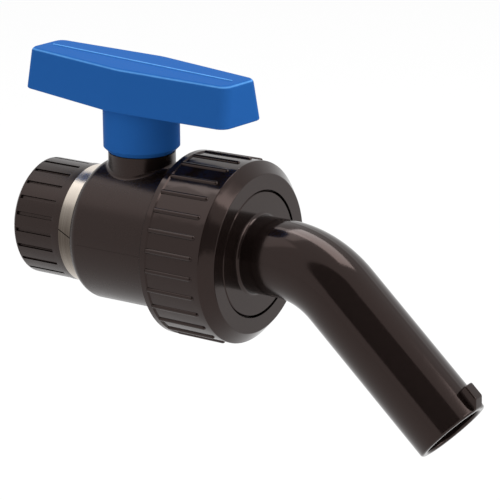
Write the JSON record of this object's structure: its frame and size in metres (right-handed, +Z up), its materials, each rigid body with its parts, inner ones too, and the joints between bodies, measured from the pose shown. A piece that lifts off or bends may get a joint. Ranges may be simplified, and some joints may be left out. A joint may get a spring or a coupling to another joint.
{
  "type": "nozzle valve",
  "caption": "Plastic ball valve with a ribbed threaded inlet, a T-lever for a quarter turn, a ribbed union nut and a bent pouring spout.",
  "frame": {"origin": "centre of the inlet mouth, on the flow axis", "axes": "+X along the flow from the inlet towards the spout, +Z up the stem towards the handle"},
  "size_m": [0.1844, 0.0654, 0.1218],
  "materials": {
    "black_plastic": "satin moulded",
    "black_gloss_plastic": "smooth moulded",
    "blue_plastic": "satin-gloss moulded",
    "polished_steel": "polished strip",
    "white_plastic": "smooth turned",
    "rubber_seal": "smooth"
  },
  "bodies": {
    "body": {"valve_body": "black_plastic", "reinforcing_band": "polished_steel", "inlet_seat": "white_plastic", "outlet_seat": "white_plastic", "inlet_seat_seal": "rubber_seal", "outlet_seat_seal": "rubber_seal", "seal_carrier": "black_plastic", "carrier_seal": "rubber_seal", "spout_seal": "rubber_seal"},
    "quarter_turn": {"handle": "blue_plastic", "stem": "black_plastic", "ball": "white_plastic", "stem_seal_lower": "rubber_seal", "stem_seal_upper": "rubber_seal", "stem_washer": "white_plastic"},
    "nut": {"union_nut": "black_gloss_plastic"},
    "spout": {"spout": "black_gloss_plastic"}
  },
  "joints": [
    {"name": "handle_turn", "type": "hinge", "parent": "body", "child": "quarter_turn", "pos_m": [0.0423, 0, 0.03], "axis": [0, 0, 1], "range_deg": [-82.5, 7.5]},
    {"name": "nut_turn", "type": "hinge", "parent": "body", "child": "nut", "pos_m": [0.078, 0, 0], "axis": [1, 0, 0], "continuous": true},
    {"name": "spout_swivel", "type": "hinge", "parent": "body", "child": "spout", "pos_m": [0.088, 0, 0], "axis": [1, 0, 0], "continuous": true}
  ]
}
